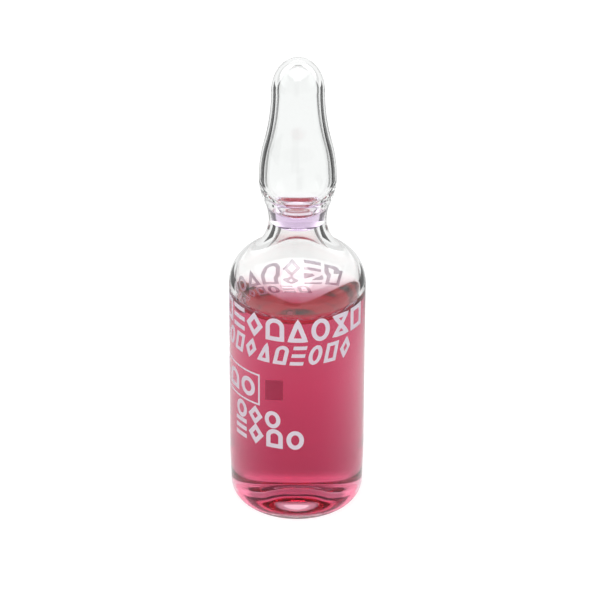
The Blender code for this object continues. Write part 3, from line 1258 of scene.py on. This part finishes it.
@dataclass
class Studio:
    """The pale floor, the white surround with its dark cards, and one soft lamp."""

    wedge: WedgeGroup
    surround: Surround = Surround()
    floor: FloorGlow = FloorGlow()
    gloss: Gloss = Gloss()
    floor_size: float = 6.0
    floor_glow: float = 0.64
    floor_colour: tuple = (0.42, 0.42, 0.42, 1.0)
    ambient: float = 1.0
    white: float = 1.0
    lamp_power: float = 1.3
    lamp_side: float = 300.0 * MM
    lamp_place: tuple = (-0.12, -0.10, 0.45)

    @staticmethod
    def by_ray(graph: Graph, plain: bpy.types.Node, through: bpy.types.Node,
               gloss: bpy.types.Node) -> bpy.types.NodeSocket:
        """Choose a shader by the kind of ray.

        Args:
            graph: the floor's or the world's graph.
            plain: the shader that most rays see.
            through: the one that rays out of glass see.
            gloss: the one that reflected rays see.

        Returns:
            The shader's socket.
        """
        path = graph.add("ShaderNodeLightPath")
        first = graph.add("ShaderNodeMixShader", {0: path.outputs["Is Glossy Ray"],
                                                  1: plain.outputs[0], 2: gloss.outputs[0]})
        second = graph.add("ShaderNodeMixShader", {0: path.outputs["Is Transmission Ray"],
                                                   1: first.outputs[0], 2: through.outputs[0]})
        return second.outputs[0]

    def floor_material(self) -> bpy.types.Material:
        """White to the camera but for the object's shadow; through glass it shows the cards, painted light
        right under the object and a painted shadow round its foot.
        """
        material = bpy.data.materials.new("studio_floor")
        material.use_nodes = True
        graph = Graph(material.node_tree)
        place = graph.add("ShaderNodeNewGeometry").outputs["Position"]
        flat = graph.add("ShaderNodeVectorMath", {0: place, 1: (1.0, 1.0, 0.0)},
                         operation="MULTIPLY").outputs[0]
        distance = graph.add("ShaderNodeVectorMath", {0: flat}, operation="LENGTH").outputs["Value"]
        lit = graph.add("ShaderNodeBsdfDiffuse", {"Color": self.floor_colour})
        glow = graph.add("ShaderNodeEmission", {"Strength": self.floor_glow})
        plain = graph.add("ShaderNodeAddShader", {0: lit.outputs[0], 1: glow.outputs[0]})
        # what rays out of glass see: painted light under the object, a painted shadow round its foot,
        # white and dark cards
        seen = self.floor.strength(graph, self.wedge, self.surround, flat, distance)
        through = graph.add("ShaderNodeEmission", {"Strength": seen})
        beyond = self.gloss.far_rise.mask(graph, distance)
        shine = self.gloss.strength(graph, self.wedge, flat, beyond, self.gloss.far_glow)
        gloss = graph.add("ShaderNodeEmission", {"Strength": shine})
        graph.add("ShaderNodeOutputMaterial", {"Surface": self.by_ray(graph, plain, through, gloss)})
        return material

    def build_world(self) -> None:
        """White to the camera, plain soft light to all surfaces, and cards through glass."""
        world = bpy.data.worlds.new("studio")
        world.use_nodes = True
        bpy.context.scene.world = world
        graph = Graph(world.node_tree)
        direction = graph.add("ShaderNodeTexCoord").outputs["Generated"]
        height = graph.add("ShaderNodeSeparateXYZ", {0: direction}).outputs["Z"]
        path = graph.add("ShaderNodeLightPath")
        ambient = graph.add("ShaderNodeBackground", {"Strength": self.ambient})
        white = graph.add("ShaderNodeBackground", {"Strength": self.white})
        plain = graph.add("ShaderNodeMixShader", {0: path.outputs["Is Camera Ray"],
                                                  1: ambient.outputs[0], 2: white.outputs[0]})
        seen = self.surround.strength(graph, self.wedge, direction, height)
        through = graph.add("ShaderNodeBackground", {"Strength": seen})
        above = self.surround.ceiling_rise.mask(graph, height)
        shine = self.gloss.strength(graph, self.wedge, direction, above, self.gloss.ceiling_glow)
        gloss = graph.add("ShaderNodeBackground", {"Strength": shine})
        graph.add("ShaderNodeOutputWorld", {"Surface": self.by_ray(graph, plain, through, gloss)})

    def build_lamp(self) -> None:
        """Make one large soft lamp above the object."""
        lamp = bpy.data.lights.new("overhead_soft_box", "AREA")
        lamp.energy = self.lamp_power
        lamp.size = self.lamp_side
        holder = bpy.data.objects.new("overhead_soft_box", lamp)
        holder.location = self.lamp_place
        holder.rotation_euler = (-Vector(self.lamp_place)).to_track_quat("-Z", "Y").to_euler()
        holder.visible_camera = False
        bpy.context.scene.collection.objects.link(holder)

    def build(self) -> None:
        """Make the floor, the surround and the lamp."""
        half = self.floor_size / 2
        mesh = bpy.data.meshes.new("floor")
        mesh.from_pydata([(-half, -half, 0), (half, -half, 0), (half, half, 0), (-half, half, 0)],
                         [], [(0, 1, 2, 3)])
        mesh.materials.append(self.floor_material())
        floor = bpy.data.objects.new("floor", mesh)
        bpy.context.scene.collection.objects.link(floor)
        self.build_world()
        self.build_lamp()
        LOG.info("studio: floor, surround and lamp")


@dataclass(frozen=True)
class CameraRig:
    """The camera at the photograph's angle.

    Attributes:
        azimuth: where it stands, in degrees, 0 towards -Y and 90 towards +X.
        elevation: how far it looks down, in degrees.
        distance: from the point it looks at, which is on the object's axis.
        look_height: the height of that point.
        focal_pixels: the focal length in pixels of the photograph.
        frame_pixels: the photograph's width.
        axis_pixel: the column on which the object's axis stands.
        roll: the camera's own lean, in degrees.
        sensor: the width of the sensor, in millimetres.
        nearest: the distance at which it begins to see.
    """

    azimuth: float = -45.0
    elevation: float = 28.0
    distance: float = 370.9 * MM
    look_height: float = 24.208 * MM
    focal_pixels: float = 3435.0
    frame_pixels: float = 600.0
    axis_pixel: float = 297.35
    roll: float = 0.2
    sensor: float = 36.0
    nearest: float = 10.0 * MM

    def build(self) -> None:
        """Make the camera and use it."""
        azimuth = math.radians(self.azimuth)
        elevation = math.radians(self.elevation)
        away = Vector((math.sin(azimuth) * math.cos(elevation),
                       -math.cos(azimuth) * math.cos(elevation), math.sin(elevation)))
        data = bpy.data.cameras.new("camera")
        data.sensor_width = self.sensor
        data.lens = self.focal_pixels / self.frame_pixels * self.sensor
        data.shift_x = 0.5 - self.axis_pixel / self.frame_pixels
        data.clip_start = self.nearest
        holder = bpy.data.objects.new("camera", data)
        target = Vector((0, 0, self.look_height))
        turn = away.to_track_quat("Z", "Y").to_matrix().to_4x4()
        spin = Matrix.Rotation(math.radians(self.roll), 4, "Z")
        holder.matrix_world = Matrix.Translation(target + away * self.distance) @ turn @ spin
        bpy.context.scene.collection.objects.link(holder)
        bpy.context.scene.camera = holder
        LOG.info("camera: %.0f mm lens", data.lens)


def set_look() -> None:
    """Plain colours, and enough bounces for light to cross glass and liquid several times."""
    scene = bpy.context.scene
    scene.view_settings.view_transform = "Standard"
    scene.cycles.max_bounces = 32
    scene.cycles.transmission_bounces = 32
    scene.cycles.glossy_bounces = 12
    scene.cycles.diffuse_bounces = 4
    scene.cycles.transparent_max_bounces = 24
    scene.cycles.caustics_refractive = True
    scene.cycles.caustics_reflective = False


@dataclass(frozen=True)
class Levels:
    """Where the liquids meet the wall: the fill below the shoulder, the drop round the neck."""

    fill_below_shoulder: float = 0.45 * MM
    drop_below_neck: float = 0.35 * MM
    drop_above_neck: float = 1.85 * MM


def main() -> None:
    """Build every piece, the studio and the camera."""
    logging.basicConfig(level=logging.INFO, format="%(name)s: %(message)s")
    outline = Outline()
    levels = Levels()
    lathe = LatheTree()
    ripple = RippleGroup()
    dry = GlassFinish("clear_glass").build(ripple)
    wet = GlassFinish("wetted_glass", specular_tint=(0.0, 0.0, 0.0, 1.0)).build(ripple)
    red = LiquidFinish("red_liquid", (43.0, 208.0, 150.0)).build(ripple)
    lilac = LiquidFinish("lilac_liquid", (52.0, 115.0, 38.0)).build(ripple)
    fill_level = outline.straight_height - levels.fill_below_shoulder
    drop_low = outline.neck_height - levels.drop_below_neck
    drop_high = outline.neck_height + levels.drop_above_neck
    GlassBody(outline, lathe).build(dry, wet, [(0, fill_level), (drop_low, drop_high)])
    LiquidBody(outline, lathe, "red_fill", "liquid_fill", "red_liquid", top=fill_level,
               top_angle=84.0).build(red)
    LiquidBody(outline, lathe, "held_drop", "neck_drop", "lilac_liquid", top=drop_high, top_angle=52.0,
               bottom=drop_low, bottom_angle=4.0).build(lilac)
    rig = CameraRig()
    enamel = EnamelFinish("white_enamel").build()
    thin_enamel = EnamelFinish("thin_enamel", alpha=0.26).build()
    PrintedBody(PrintTree(), outline.body_radius, rig.azimuth, enamel, thin_enamel).build()
    Studio(WedgeGroup()).build()
    rig.build()
    set_look()


if __name__ == "__main__":
    main()
